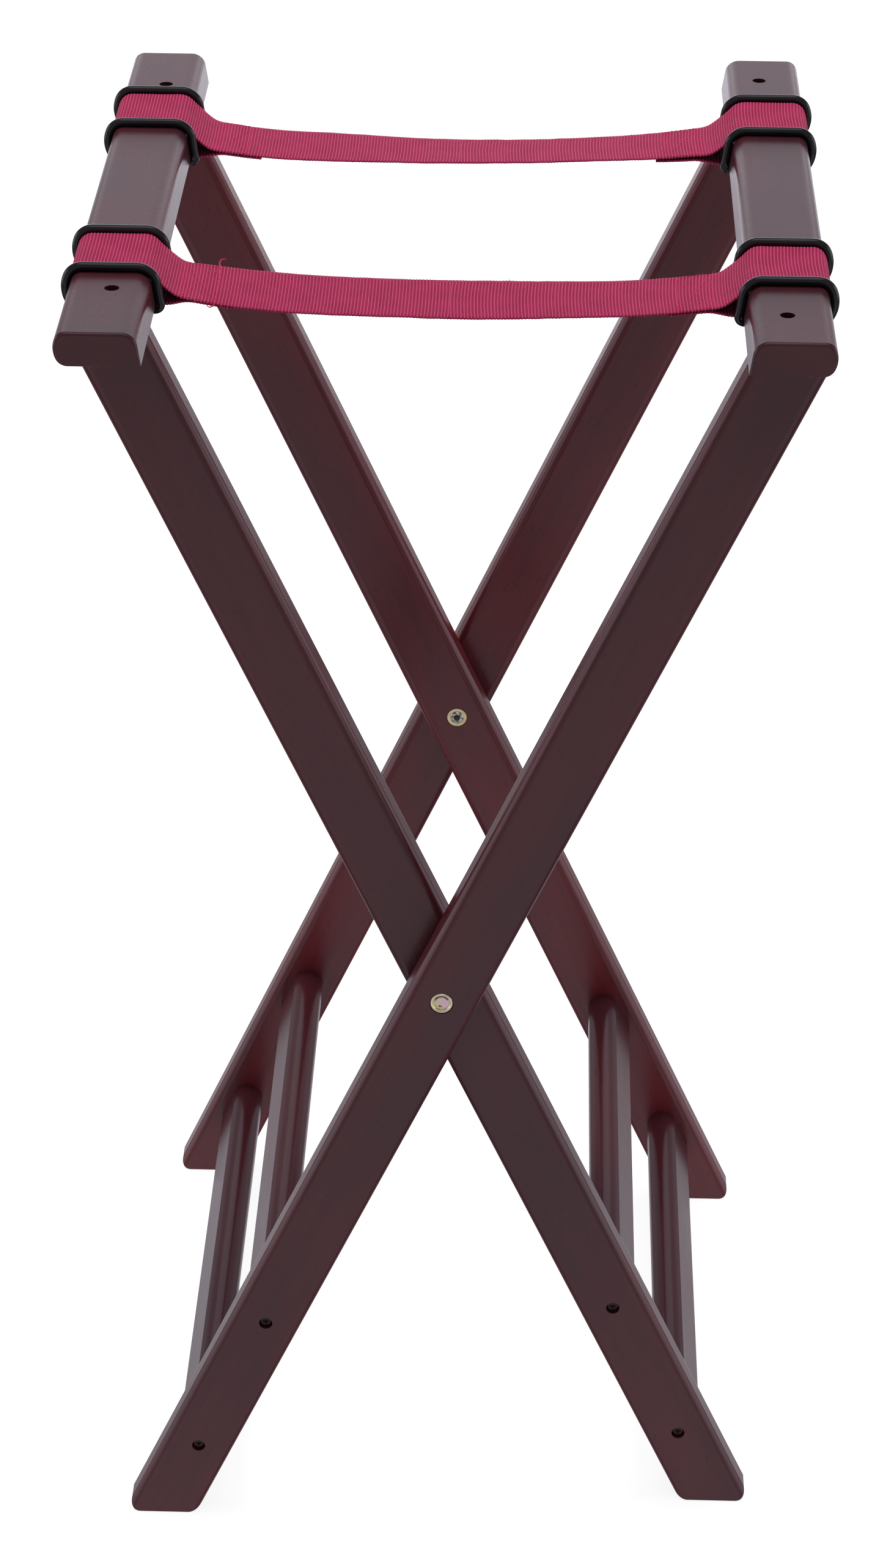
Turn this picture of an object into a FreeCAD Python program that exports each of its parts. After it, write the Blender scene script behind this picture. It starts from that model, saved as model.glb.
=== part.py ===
import FreeCAD, Part
import math
import os

# Folding luggage rack: two crossed wooden frames hinged on two rivets, joined at
# the top by two webbing straps held between rubber rings.
# Millimetres. +Z up, X across the fold, Y along the rails. Origin on the floor,
# below the hinge line, halfway between the two pairs of legs.

V = FreeCAD.Vector

# ---- driving dimensions -------------------------------------------------
height = 787.0            # floor to the top of the rails, rack open
foot_x = 168.8            # centre of each foot from the middle, on the floor
pivot_z = 369.2           # height of the hinge line
leg_w = 40.2              # leg board, wide face
leg_t = 21.4              # leg board, thickness
leg_edge_r = 5.5          # rounding of the long edges
foot_r_out = 5.8          # rounding of the foot's outer corner
foot_r_in = 10.0          # rounding of the foot's inner corner
top_r_out = 10.0          # rounding of the leg's outer corner under the rail
top_r_in = 6.0            # rounding of the leg's inner corner under the rail
outer_face_y = 196.5      # outer face of the outer legs
leg_gap = 1.2             # gap between an outer leg and its inner leg

rail_x = 179.3            # centre of each rail from the middle
rail_w = 45.6
rail_t = 18.8
rail_len = 447.6
rail_flare = 2.8          # the strap side leans out this far towards the bottom
rail_r_top_in = 8.2       # rounded upper corner on the strap side
rail_r_bot_in = 0.5       # the lower corner on the strap side stays crisp
rail_belly = 1.12         # the outer side is a full curve between two corners
rail_r_belly = 14.0
rail_r_top_out = 6.2
rail_r_bot_out = 6.2
rail_end_r = 1.7          # rounding of the end, along the top and the two sides
rail_end_bot = 0.35       # and along the bottom edge
outer_rail_y = 0.0        # middle of the outer frame's rail
inner_rail_y = -2.0       # the inner frame's rail sits a little off centre
rail_screw_x = 177.2      # the screws sit slightly inside the rail's centre

str_w = 38.8              # stretcher, along the leg
str_t = 19.8              # stretcher, across the leg
str_crown = 8.4           # how far each narrow edge bulges
str_z = (51.2, 143.3)     # heights of the stretcher centres

cbore_r = 4.0             # screw recesses
rail_cbore_depth = 9.0
leg_cbore_depth = 4.6
screw_head_r = 3.6
screw_head_h = 2.4
screw_r = 2.0
hole_clear = 0.05

rivet_r = 3.0
rivet_bore_r = 3.06
rivet_head_r = 6.45
rivet_head_h = 1.7
rivet_recess_r = 6.85
rivet_recess_d = 1.6
tail_r = 4.2
washer_r = 6.2
washer_t = 0.8
washer_recess_r = 6.6     # shallow seat for the washer in the inner leg
washer_recess_d = 0.7
washer_gap = 0.1

ring_d = 4.9              # rubber cord
ring_gap = 0.1            # cord clear of the wood
# rings and straps are pushed along by hand, so each pair sits where it was left
ring_y = {"outer": (-143.8, -87.7, 89.4, 146.2), "inner": (-139.4, -84.0, 88.0, 144.7)}

strap_w = 50.0
strap_t = 1.3
strap_mid_y = {"near": -113.7, "far": 117.1}           # middle of each strap at mid-span
strap_rail_y = {("near", "outer"): -115.75, ("near", "inner"): -111.7,
                ("far", "outer"): 117.8, ("far", "inner"): 116.35}
strap_off = 0.15          # strap clear of the wood
strap_cut = 148.7         # where each strap's loop meets its span

lean = math.atan2(foot_x, pivot_z)
tan_l = foot_x / pivot_z
half_cut = leg_w / 2.0 / math.cos(lean)
under_rail = height - rail_t
y_out = outer_face_y - leg_t / 2.0                     # middle of the outer legs
y_in = outer_face_y - 1.5 * leg_t - leg_gap            # middle of the inner legs
inner_face_out = outer_face_y - leg_t                  # inner face of the outer legs
inner_face_in = outer_face_y - 2 * leg_t - leg_gap     # inner face of the inner legs
washer_seat = inner_face_in + washer_recess_d - washer_gap

os.makedirs("parts", exist_ok=True)
made = {}


def save(name, shape):
    shape.exportStep("parts/%s.step" % name)
    made[name] = shape


# ---- helpers ------------------------------------------------------------
def rounded(points, radii):
    """Closed wire in the XZ plane through points, each corner rounded by its radius."""
    n = len(points)
    ends = []
    for i in range(n):
        p = V(points[i][0], 0, points[i][1])
        a = V(points[i - 1][0], 0, points[i - 1][1]) - p
        b = V(points[(i + 1) % n][0], 0, points[(i + 1) % n][1]) - p
        a.normalize()
        b.normalize()
        r = radii[i]
        if r <= 0:
            ends.append((p, p, p))
            continue
        half = math.acos(max(-1, min(1, a.dot(b)))) / 2.0
        d = r / math.tan(half)
        t1, t2 = p + a * d, p + b * d
        bis = a + b
        bis.normalize()
        mid = p + bis * (r / math.sin(half) - r)
        ends.append((t1, mid, t2))
    edges = []
    for i in range(n):
        t1, mid, t2 = ends[i]
        if (t1 - t2).Length > 1e-6:
            edges.append(Part.Arc(t1, mid, t2).toShape())
        nxt = ends[(i + 1) % n][0]
        if (nxt - t2).Length > 1e-6:
            edges.append(Part.makeLine(t2, nxt))
    return Part.Wire(Part.__sortEdges__(edges))


def grown(points, radii, d):
    """A convex outline pushed out by d, with its corner radii to suit."""
    out = []
    n = len(points)
    for i in range(n):
        p = V(points[i][0], 0, points[i][1])
        a = V(points[i - 1][0], 0, points[i - 1][1]) - p
        b = V(points[(i + 1) % n][0], 0, points[(i + 1) % n][1]) - p
        a.normalize()
        b.normalize()
        half = math.acos(max(-1, min(1, a.dot(b)))) / 2.0
        bis = a + b
        bis.normalize()
        q = p - bis * (d / math.sin(half))
        out.append((q.x, q.z))
    return out, [r + d for r in radii]


def rail_outline(o=0.0, o_bot=0.0):
    """Corners and radii of the right-hand rail's section, pulled in by o (o_bot along the bottom)."""
    xi, xo = rail_x - rail_w / 2, rail_x + rail_w / 2
    bot, top, mid = under_rail + o_bot, height - o, height - rail_t / 2
    slant = rail_flare / rail_t
    inner = lambda z: xi + (z - under_rail) * slant + o * math.hypot(1, slant)
    pts = [(inner(bot), bot), (xo - 2.9 - o, bot), (xo + rail_belly - o, mid), (xo - 2.6 - o, top), (inner(top), top)]
    radii = [rail_r_bot_in, rail_r_bot_out - o / 2, rail_r_belly - o, rail_r_top_out - o, rail_r_top_in - o]
    return pts, radii


def arc_points(points, radii, i, a0, a1, n):
    """n points on the rounding of corner i, between two angles in degrees from +X."""
    p = V(points[i][0], 0, points[i][1])
    a = V(points[i - 1][0], 0, points[i - 1][1]) - p
    b = V(points[(i + 1) % len(points)][0], 0, points[(i + 1) % len(points)][1]) - p
    a.normalize()
    b.normalize()
    half = math.acos(max(-1, min(1, a.dot(b)))) / 2.0
    bis = a + b
    bis.normalize()
    c = p + bis * (radii[i] / math.sin(half))
    return [(c.x + radii[i] * math.cos(math.radians(a0 + (a1 - a0) * k / (n - 1))),
             c.z + radii[i] * math.sin(math.radians(a0 + (a1 - a0) * k / (n - 1)))) for k in range(n)]


def prism(wire, y0, y1):
    face = Part.Face(wire)
    face.translate(V(0, y0, 0))
    return face.extrude(V(0, y1 - y0, 0))


def rod_y(r, x, z, y0, y1):
    return Part.makeCylinder(r, abs(y1 - y0), V(x, min(y0, y1), z), V(0, 1, 0))


def rod_z(r, x, y, z0, z1):
    return Part.makeCylinder(r, z1 - z0, V(x, y, z0), V(0, 0, 1))


def centre_x(z, side):
    """X of a leg's centre line at height z. side +1: the outer frame, which rises to +X."""
    return side * (z - pivot_z) * tan_l


def one(shape):
    s = shape.removeSplitter()
    return s.Solids[0] if len(s.Solids) == 1 else s


# ---- legs ---------------------------------------------------------------
def leg(side, y_mid, sgn):
    """side +1 outer frame, -1 inner frame; sgn -1 near end, +1 far end."""
    board = Part.makeBox(leg_w, leg_t, 1000, V(-leg_w / 2, -leg_t / 2, -500))
    long_edges = [e for e in board.Edges if abs(e.tangentAt(e.FirstParameter).z) > 0.9]
    board = board.makeFillet(leg_edge_r, long_edges)
    board.rotate(V(0, 0, 0), V(0, 1, 0), side * math.degrees(lean))
    board.translate(V(0, sgn * y_mid, pivot_z))
    xb, xt = centre_x(0, side), centre_x(under_rail, side)
    pts = [(xb - half_cut, 0), (xb + half_cut, 0), (xt + half_cut, under_rail), (xt - half_cut, under_rail)]
    if side > 0:
        radii = [foot_r_out, foot_r_in, top_r_out, top_r_in]
    else:
        radii = [foot_r_in, foot_r_out, top_r_in, top_r_out]
    body = board.common(prism(rounded(pts, radii), sgn * y_mid - leg_t, sgn * y_mid + leg_t))
    face_out = sgn * (y_mid + leg_t / 2)               # outer face
    face_in = sgn * (y_mid - leg_t / 2)
    # hinge bore
    body = body.cut(rod_y(rivet_bore_r, 0, pivot_z, face_out + sgn, face_in - sgn))
    if side > 0:
        body = body.cut(rod_y(rivet_recess_r, 0, pivot_z, face_out + sgn, face_out - sgn * rivet_recess_d))
    else:
        body = body.cut(rod_y(washer_recess_r, 0, pivot_z, face_in - sgn, face_in + sgn * washer_recess_d))
    # stretcher screws
    for z in str_z:
        x = centre_x(z, side)
        body = body.cut(rod_y(cbore_r, x, z, face_out + sgn, face_out - sgn * leg_cbore_depth))
        body = body.cut(rod_y(screw_r + hole_clear, x, z, face_out, face_in - sgn))
    # rail screw
    body = body.cut(rod_z(screw_r + hole_clear, side * rail_screw_x, sgn * y_mid, under_rail - 34, under_rail + 1))
    return one(body)


# ---- rails --------------------------------------------------------------
def rail_wire(side, y, o, o_bot):
    pts, radii = rail_outline(o, o_bot)
    if side < 0:
        pts = [(-x, z) for x, z in pts]
    w = rounded(pts, radii)
    w.translate(V(0, y, 0))
    return w


def rail_cap(side, y_end, out):
    """The last few millimetres of a rail, its edge rounded over. out is -1 at the front end, +1 at the rear."""
    steps = []
    for k in range(6):
        t = math.pi / 2 * k / 5
        y = y_end - out * rail_end_r * (1 - math.sin(t))
        steps.append(rail_wire(side, y, rail_end_r * (1 - math.cos(t)), rail_end_bot * (1 - math.cos(t))))
    return Part.makeLoft(steps, True, False)


def rail(side, y_mid_legs, y_c):
    y0, y1 = y_c - rail_len / 2, y_c + rail_len / 2
    body = prism(rail_wire(side, 0, 0, 0), y0 + rail_end_r, y1 - rail_end_r)
    for y_end, out in ((y0, -1), (y1, 1)):
        cap = rail_cap(side, y_end, out)
        print("cap", cap.isValid(), round(cap.Volume, 1))
        body = body.fuse(cap)
    for sgn in (-1, 1):
        y = sgn * y_mid_legs
        body = body.cut(rod_z(cbore_r, side * rail_screw_x, y, height - rail_cbore_depth, height + 2))
        body = body.cut(rod_z(screw_r + hole_clear, side * rail_screw_x, y, under_rail - 1, height))
    return one(body)


# ---- stretchers ---------------------------------------------------------
def stretcher(side, z, y_face):
    hw, ht, c = str_w / 2, str_t / 2, str_crown
    p = [V(-ht, 0, -(hw - c)), V(-ht, 0, hw - c), V(0, 0, hw), V(ht, 0, hw - c), V(ht, 0, -(hw - c)), V(0, 0, -hw)]
    w = Part.Wire([Part.makeLine(p[0], p[1]), Part.Arc(p[1], p[2], p[3]).toShape(),
                   Part.makeLine(p[3], p[4]), Part.Arc(p[4], p[5], p[0]).toShape()])
    body = Part.Face(w).extrude(V(0, 2 * y_face, 0))
    body.translate(V(0, -y_face, 0))
    body.rotate(V(0, 0, 0), V(0, 1, 0), side * math.degrees(lean))
    x = centre_x(z, side)
    body.translate(V(x, 0, z))
    for sgn in (-1, 1):
        body = body.cut(rod_y(screw_r + hole_clear, x, z, sgn * (y_face + 1), sgn * (y_face - 26)))
    return one(body)


# ---- screws -------------------------------------------------------------
def screw(head_point, direction, length):
    """Pan head with a shallow cross slot, shank and tapered tip. direction points along the shank."""
    d = V(*direction)
    p = V(*head_point)
    head = Part.makeCylinder(screw_head_r, screw_head_h, p, d)
    top = [e for e in head.Edges if e.Closed and (e.BoundBox.Center - p).Length < 0.1]
    try:
        head = head.makeFillet(0.8, top)
    except Exception:
        print("screw head fillet skipped")
    shank = Part.makeCylinder(screw_r, length - 4, p + d * (screw_head_h - 0.2), d)
    tip = Part.makeCone(screw_r, 0.3, 4.0, p + d * (screw_head_h - 0.2 + length - 4), d)
    s = head.fuse(shank).fuse(tip)
    # cross slot
    ax = V(1, 0, 0)
    ay = d.cross(ax)
    for a, b in ((ax, ay), (ay, ax)):
        box = Part.makeBox(3.6, 0.9, 2.4)
        m = FreeCAD.Matrix(a.x, b.x, d.x, 0, a.y, b.y, d.y, 0, a.z, b.z, d.z, 0, 0, 0, 0, 1)
        if m.determinant() < 0:
            b = V(-b.x, -b.y, -b.z)
            m = FreeCAD.Matrix(a.x, b.x, d.x, 0, a.y, b.y, d.y, 0, a.z, b.z, d.z, 0, 0, 0, 0, 1)
        box.translate(V(-1.8, -0.45, -1.0))
        box = box.transformGeometry(m)
        box.translate(p)
        s = s.cut(box)
    return one(s)


# ---- hinge --------------------------------------------------------------
def rivet(sgn):
    """Semi-tubular rivet: dished head let into the outer leg, plain shank, rolled tail inside."""
    f = outer_face_y
    head_out = f + 0.25
    head_in = f - rivet_recess_d + 0.05
    tail_in = washer_seat - washer_t - 0.02            # washer's free face
    # profile in (r, y), turned about the hinge line
    prof = [(0, head_out - 1.2), (4.45, head_out - 1.2), (4.65, head_out - 0.55), (5.15, head_out - 0.12), (5.6, head_out),
            (6.1, head_out - 0.14), (rivet_head_r, head_out - 0.6), (rivet_head_r, head_in), (rivet_r, head_in),
            (rivet_r, tail_in - 0.02), (tail_r - 0.3, tail_in - 0.02), (tail_r, tail_in - 0.35), (tail_r - 0.5, tail_in - 0.95),
            (2.7, tail_in - 1.0), (2.0, tail_in - 0.55), (1.9, tail_in + 6.0), (0, tail_in + 6.6)]
    pts = [V(r, sgn * y, 0) for r, y in prof]
    face = Part.Face(Part.makePolygon(pts + [pts[0]]))
    body = face.revolve(V(0, 0, 0), V(0, 1, 0), 360)
    body.translate(V(0, 0, pivot_z))
    if body.Volume < 0:
        body.reverse()
    return one(Part.Solid(body.Shells[0]) if not body.Solids else body)


def washer(r_out, r_in, y0, y1):
    return one(rod_y(r_out, 0, pivot_z, y0, y1).cut(rod_y(r_in, 0, pivot_z, min(y0, y1) - 1, max(y0, y1) + 1)))


# ---- rubber rings -------------------------------------------------------
def ring(side, y):
    r = ring_d / 2
    top = height + r + ring_gap
    pts, radii = grown(*rail_outline(), r + ring_gap)
    if side < 0:
        pts = [(-x, z) for x, z in pts]
    path = rounded(pts, radii)
    path.translate(V(0, y, 0))
    # start on the straight upper run, so that the section stands square to it
    mid = V(side * rail_x, y, top)
    circle = Part.Wire(Part.makeCircle(r, mid, V(1, 0, 0)))
    edges = path.Edges
    # rotate the edge list so that the sweep starts on the top run, split at its middle
    k = [i for i, e in enumerate(edges) if abs(e.BoundBox.ZMin - top) < 1e-3 and abs(e.BoundBox.ZMax - top) < 1e-3][0]
    e = edges[k]
    a, b = e.valueAt(e.FirstParameter), e.valueAt(e.LastParameter)
    if e.Orientation == "Reversed":
        a, b = b, a
    seq = [Part.makeLine(mid, b)] + edges[k + 1:] + edges[:k] + [Part.makeLine(a, mid)]
    body = Part.Wire(Part.__sortEdges__(seq)).makePipeShell([circle], True, True)
    if body.Volume < 0:
        body.reverse()
    return one(body if body.ShapeType == "Solid" or body.Solids else Part.Solid(body))


# ---- straps -------------------------------------------------------------
def offset_pair(points, t):
    """Points at t/2 each side of an open line of (x, z) points: left of travel first."""
    left, right = [], []
    n = len(points)
    for i in range(n):
        ax, az = points[max(0, i - 1)]
        bx, bz = points[min(n - 1, i + 1)]
        dx, dz = bx - ax, bz - az
        d = math.hypot(dx, dz)
        nx, nz = -dz / d, dx / d
        left.append((points[i][0] + nx * t / 2, points[i][1] + nz * t / 2))
        right.append((points[i][0] - nx * t / 2, points[i][1] - nz * t / 2))
    return left, right


def spline(points, side, y):
    c = Part.BSplineCurve()
    c.interpolate([V(side * x, y, z) for x, z in points])
    return c.toShape()


def band(points, side, y0, y1, t=strap_t):
    left, right = offset_pair(points, t)
    l, r = spline(left, side, y0), spline(right, side, y0)
    w = Part.Wire([l, Part.makeLine(V(side * left[-1][0], y0, left[-1][1]), V(side * right[-1][0], y0, right[-1][1])),
                   r, Part.makeLine(V(side * right[0][0], y0, right[0][1]), V(side * left[0][0], y0, left[0][1]))])
    s = Part.Face(w).extrude(V(0, y1 - y0, 0))
    return one(s)


def loop_line():
    """Middle of the webbing round the right-hand rail: over the top, round the outside and back below."""
    c = strap_off + strap_t / 2
    pts, radii = grown(*rail_outline(), c)
    line = [(148.9, 774.85), (151.0, 776.55), (153.5, 778.75), (157.0, 782.05)]
    line += arc_points(pts, radii, 4, 136, 92, 5)
    line += [(x, height + c) for x in (173.5, 180.0, 187.0, 193.0)]
    line += arc_points(pts, radii, 3, 86, 27, 5)
    line += arc_points(pts, radii, 2, 16, -18, 4)
    line += arc_points(pts, radii, 1, -29, -86, 5)
    line += [(x, under_rail - c) for x in (192.5, 187.0, 180.0, 173.0, 166.0, 160.5, 156.5)]
    return line + [(153.0, 767.42), (150.6, 767.52), (148.9, 767.68)]


def span_line():
    """Middle of the top layer from the rail to mid-span."""
    return [(148.5, 774.52), (146.2, 773.0), (143.5, 771.9), (140.8, 771.3), (137.0, 770.75), (132.0, 770.1),
            (125.0, 769.25), (113.6, 768.0), (100.0, 766.85), (85.0, 765.95), (68.0, 765.15), (50.0, 764.55),
            (33.0, 764.2), (16.0, 764.0), (0.2, 763.95)]


def tail_line():
    """Middle of the lower layer, from below the rail to the end of the part sewn under the top layer."""
    return [(148.5, 767.75), (146.2, 768.25), (143.5, 768.85), (140.8, 769.3), (137.0, 769.45), (132.0, 768.8),
            (125.0, 767.95), (113.6, 766.7)]


def strap_loop(side, sname, fname):
    y0 = strap_rail_y[(sname, fname)] - strap_w / 2
    return band(loop_line(), side, y0, y0 + strap_w)


def strap_span(side, sname, fname):
    """Half the top layer with the sewn-under end of the lower layer, as one outline."""
    y0 = strap_mid_y[sname] - strap_w / 2
    lower, upper = offset_pair(span_line(), strap_t)
    tail_lower, tail_upper = offset_pair(tail_line(), strap_t)
    lines = [upper,                                     # rail to mid-span
             [upper[-1], lower[-1]],
             lower[:6:-1],                              # back to the end of the sewn part
             [lower[7], tail_lower[-1]],
             tail_lower[::-1],                          # out below to the rail
             [tail_lower[0], tail_upper[0]],
             tail_upper[:4] + [lower[4]],               # in to the start of the seam
             lower[4::-1],                              # and out to the rail again
             [lower[0], upper[0]]]
    edges = [spline(q, side, y0) if len(q) > 2 else Part.makeLine(*[V(side * x, y0, z) for x, z in q]) for q in lines]
    body = Part.Face(Part.Wire(edges)).extrude(V(0, strap_w, 0))
    # lean the half span in plan, so that it meets the loop where that sits on its rail
    k = (strap_rail_y[(sname, fname)] - strap_mid_y[sname]) / strap_cut
    return one(body.transformGeometry(FreeCAD.Matrix(1, 0, 0, 0, side * k, 1, 0, 0, 0, 0, 1, 0, 0, 0, 0, 1)))


# ---- build --------------------------------------------------------------
ends = (("front", -1), ("rear", 1))
frames = (("outer", 1, y_out, outer_rail_y, inner_face_out), ("inner", -1, y_in, inner_rail_y, inner_face_in))

for fname, side, y_mid, rail_c, face in frames:
    for ename, sgn in ends:
        save("%s_leg_%s" % (fname, ename), leg(side, y_mid, sgn))
    save("%s_top_rail" % fname, rail(side, y_mid, rail_c))
    for lname, z in (("lower", str_z[0]), ("upper", str_z[1])):
        save("%s_stretcher_%s" % (fname, lname), stretcher(side, z, face - 0.02))
    save("%s_rail_screws" % fname, Part.makeCompound(
        [screw((side * rail_screw_x, sgn * y_mid, height - rail_cbore_depth + screw_head_h), (0, 0, -1), 38.0) for e, sgn in ends]))
    save("%s_stretcher_screws" % fname, Part.makeCompound(
        [screw((centre_x(z, side), sgn * (y_mid + leg_t / 2 - leg_cbore_depth + screw_head_h), z), (0, -sgn, 0), 38.0)
         for e, sgn in ends for z in str_z]))

for ename, sgn in ends:
    save("pivot_rivet_%s" % ename, rivet(sgn))
    save("pivot_washer_%s" % ename, washer(washer_r, rivet_r + 0.05, sgn * washer_seat, sgn * (washer_seat - washer_t)))
    save("pivot_spacer_%s" % ename, washer(8.0, rivet_r + 0.05, sgn * inner_face_out - sgn * 0.02, sgn * (inner_face_out - 0.92)))

for fname, side, y_mid, rail_c, face in frames:
    for k, y in enumerate(ring_y[fname]):
        save("ring_%s_%d" % (fname, k + 1), ring(side, y))
    for sname in ("near", "far"):
        save("strap_%s_loop_%s" % (sname, fname), strap_loop(side, sname, fname))
        save("strap_%s_span_%s" % (sname, fname), strap_span(side, sname, fname))

bb = None
for name, s in sorted(made.items()):
    b = s.BoundBox
    bb = b if bb is None else bb.united(b)
    print("%-26s solids %d valid %s vol %.1f  x %.1f..%.1f y %.1f..%.1f z %.1f..%.1f" % (
        name, len(s.Solids), s.isValid(), s.Volume, b.XMin, b.XMax, b.YMin, b.YMax, b.ZMin, b.ZMax))
print("nodes", len(made), "box x %.1f..%.1f y %.1f..%.1f z %.1f..%.1f" % (bb.XMin, bb.XMax, bb.YMin, bb.YMax, bb.ZMin, bb.ZMax))
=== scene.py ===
import math

import bpy
import numpy as np
from mathutils import Matrix, Vector


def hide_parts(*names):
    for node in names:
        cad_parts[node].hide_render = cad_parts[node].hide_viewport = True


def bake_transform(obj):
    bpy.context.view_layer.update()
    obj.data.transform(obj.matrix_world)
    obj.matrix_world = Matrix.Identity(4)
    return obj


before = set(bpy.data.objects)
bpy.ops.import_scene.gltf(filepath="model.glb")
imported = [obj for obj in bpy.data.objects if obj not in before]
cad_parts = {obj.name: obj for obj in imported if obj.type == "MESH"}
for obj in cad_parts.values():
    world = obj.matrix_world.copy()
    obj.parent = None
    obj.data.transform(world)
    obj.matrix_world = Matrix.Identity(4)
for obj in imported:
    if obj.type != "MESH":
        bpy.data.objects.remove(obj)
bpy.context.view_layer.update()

# Looks for the folding rack. Metres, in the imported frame: +Z up, X across the fold, Y along the rails.
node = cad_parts
scene = bpy.context.scene
rng = np.random.default_rng(7)
MM = 0.001

# ------------------------------------------------------------------ camera
YAW, PITCH, ROLL = -0.02402, -0.50021, 0.00741
fwd = Vector((math.sin(YAW) * math.cos(PITCH), math.cos(YAW) * math.cos(PITCH), math.sin(PITCH)))
right = Vector((math.cos(YAW), -math.sin(YAW), 0.0))
up = right.cross(fwd)
r2 = math.cos(ROLL) * right + math.sin(ROLL) * up
u2 = -math.sin(ROLL) * right + math.cos(ROLL) * up
cam_data = bpy.data.cameras.new("view")
cam = bpy.data.objects.new("view", cam_data)
scene.collection.objects.link(cam)
m = Matrix.Identity(4)
for i in range(3):
    m[i][0], m[i][1], m[i][2] = r2[i], u2[i], -fwd[i]
m.translation = (0.04859, -2.16125, 1.58726)
cam.matrix_world = m
cam_data.sensor_fit = "AUTO"
cam_data.sensor_width = 36.0
cam_data.lens = 6652.7 * 36.0 / 2565.0
cam_data.shift_x = -(729.0 - 728.0) / 2565.0
cam_data.shift_y = (1277.9 - 1282.5) / 2565.0
cam_data.clip_start = 0.05
scene.camera = cam

# ------------------------------------------------------------------ node helpers


class Mat:
    def __init__(self, name):
        self.m = bpy.data.materials.new(name)
        self.m.use_nodes = True
        self.t = self.m.node_tree
        self.t.nodes.clear()
        self.out = self.new("ShaderNodeOutputMaterial")
        self.b = self.new("ShaderNodeBsdfPrincipled")
        self.link(self.b.outputs[0], self.out.inputs[0])

    def new(self, kind, **props):
        n = self.t.nodes.new(kind)
        for k, v in props.items():
            setattr(n, k, v)
        return n

    def link(self, a, b):
        self.t.links.new(a, b)

    def put(self, socket, v):
        if isinstance(v, bpy.types.NodeSocket):
            self.link(v, socket)
        else:
            socket.default_value = v

    def set(self, **kw):
        for k, v in kw.items():
            self.put(self.b.inputs[k.replace("_", " ")], v)

    def math(self, op, a, b=None, c=None, clamp=False):
        n = self.new("ShaderNodeMath", operation=op, use_clamp=clamp)
        for i, v in enumerate((a, b, c)):
            if v is not None:
                self.put(n.inputs[i], v)
        return n.outputs[0]

    def vmath(self, op, a, b=None):
        n = self.new("ShaderNodeVectorMath", operation=op)
        self.put(n.inputs[0], a)
        if b is not None:
            self.put(n.inputs[1], b)
        return n.outputs[0] if op not in ("LENGTH", "DISTANCE", "DOT_PRODUCT") else n.outputs[1]

    def step(self, v, a, b, lo=0.0, hi=1.0):
        n = self.new("ShaderNodeMapRange", interpolation_type="SMOOTHSTEP", clamp=True)
        for i, x in enumerate((v, a, b, lo, hi)):
            self.put(n.inputs[i], x)
        return n.outputs[0]

    def mix(self, f, a, b, mode="MIX"):
        n = self.new("ShaderNodeMix", data_type="RGBA", blend_type=mode)
        self.put(n.inputs[0], f)
        for i, v in ((6, a), (7, b)):
            self.put(n.inputs[i], v if isinstance(v, bpy.types.NodeSocket) else (*v, 1.0))
        return n.outputs[2]

    def coords(self, loc=(0, 0, 0), rot=(0, 0, 0)):
        tc = self.new("ShaderNodeTexCoord")
        mp = self.new("ShaderNodeMapping", vector_type="TEXTURE")
        self.link(tc.outputs["Object"], mp.inputs[0])
        mp.inputs[1].default_value = loc
        mp.inputs[2].default_value = rot
        return mp.outputs[0]

    def scaled(self, v, s, off=(0, 0, 0)):
        mp = self.new("ShaderNodeMapping", vector_type="POINT")
        self.link(v, mp.inputs[0])
        mp.inputs[1].default_value = off
        mp.inputs[3].default_value = s
        return mp.outputs[0]

    def noise(self, v, scale, detail=2.0, rough=0.5, dist=0.0):
        n = self.new("ShaderNodeTexNoise")
        self.link(v, n.inputs["Vector"])
        n.inputs["Scale"].default_value = scale
        n.inputs["Detail"].default_value = detail
        n.inputs["Roughness"].default_value = rough
        n.inputs["Distortion"].default_value = dist
        return n.outputs[0]

    def bump(self, h, dist, strength=1.0, normal=None):
        n = self.new("ShaderNodeBump")
        n.inputs["Strength"].default_value = strength
        n.inputs["Distance"].default_value = dist
        self.link(h, n.inputs["Height"])
        if normal is not None:
            self.link(normal, n.inputs["Normal"])
        return n.outputs[0]

    def xyz(self, v):
        n = self.new("ShaderNodeSeparateXYZ")
        self.link(v, n.inputs[0])
        return n.outputs


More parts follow.
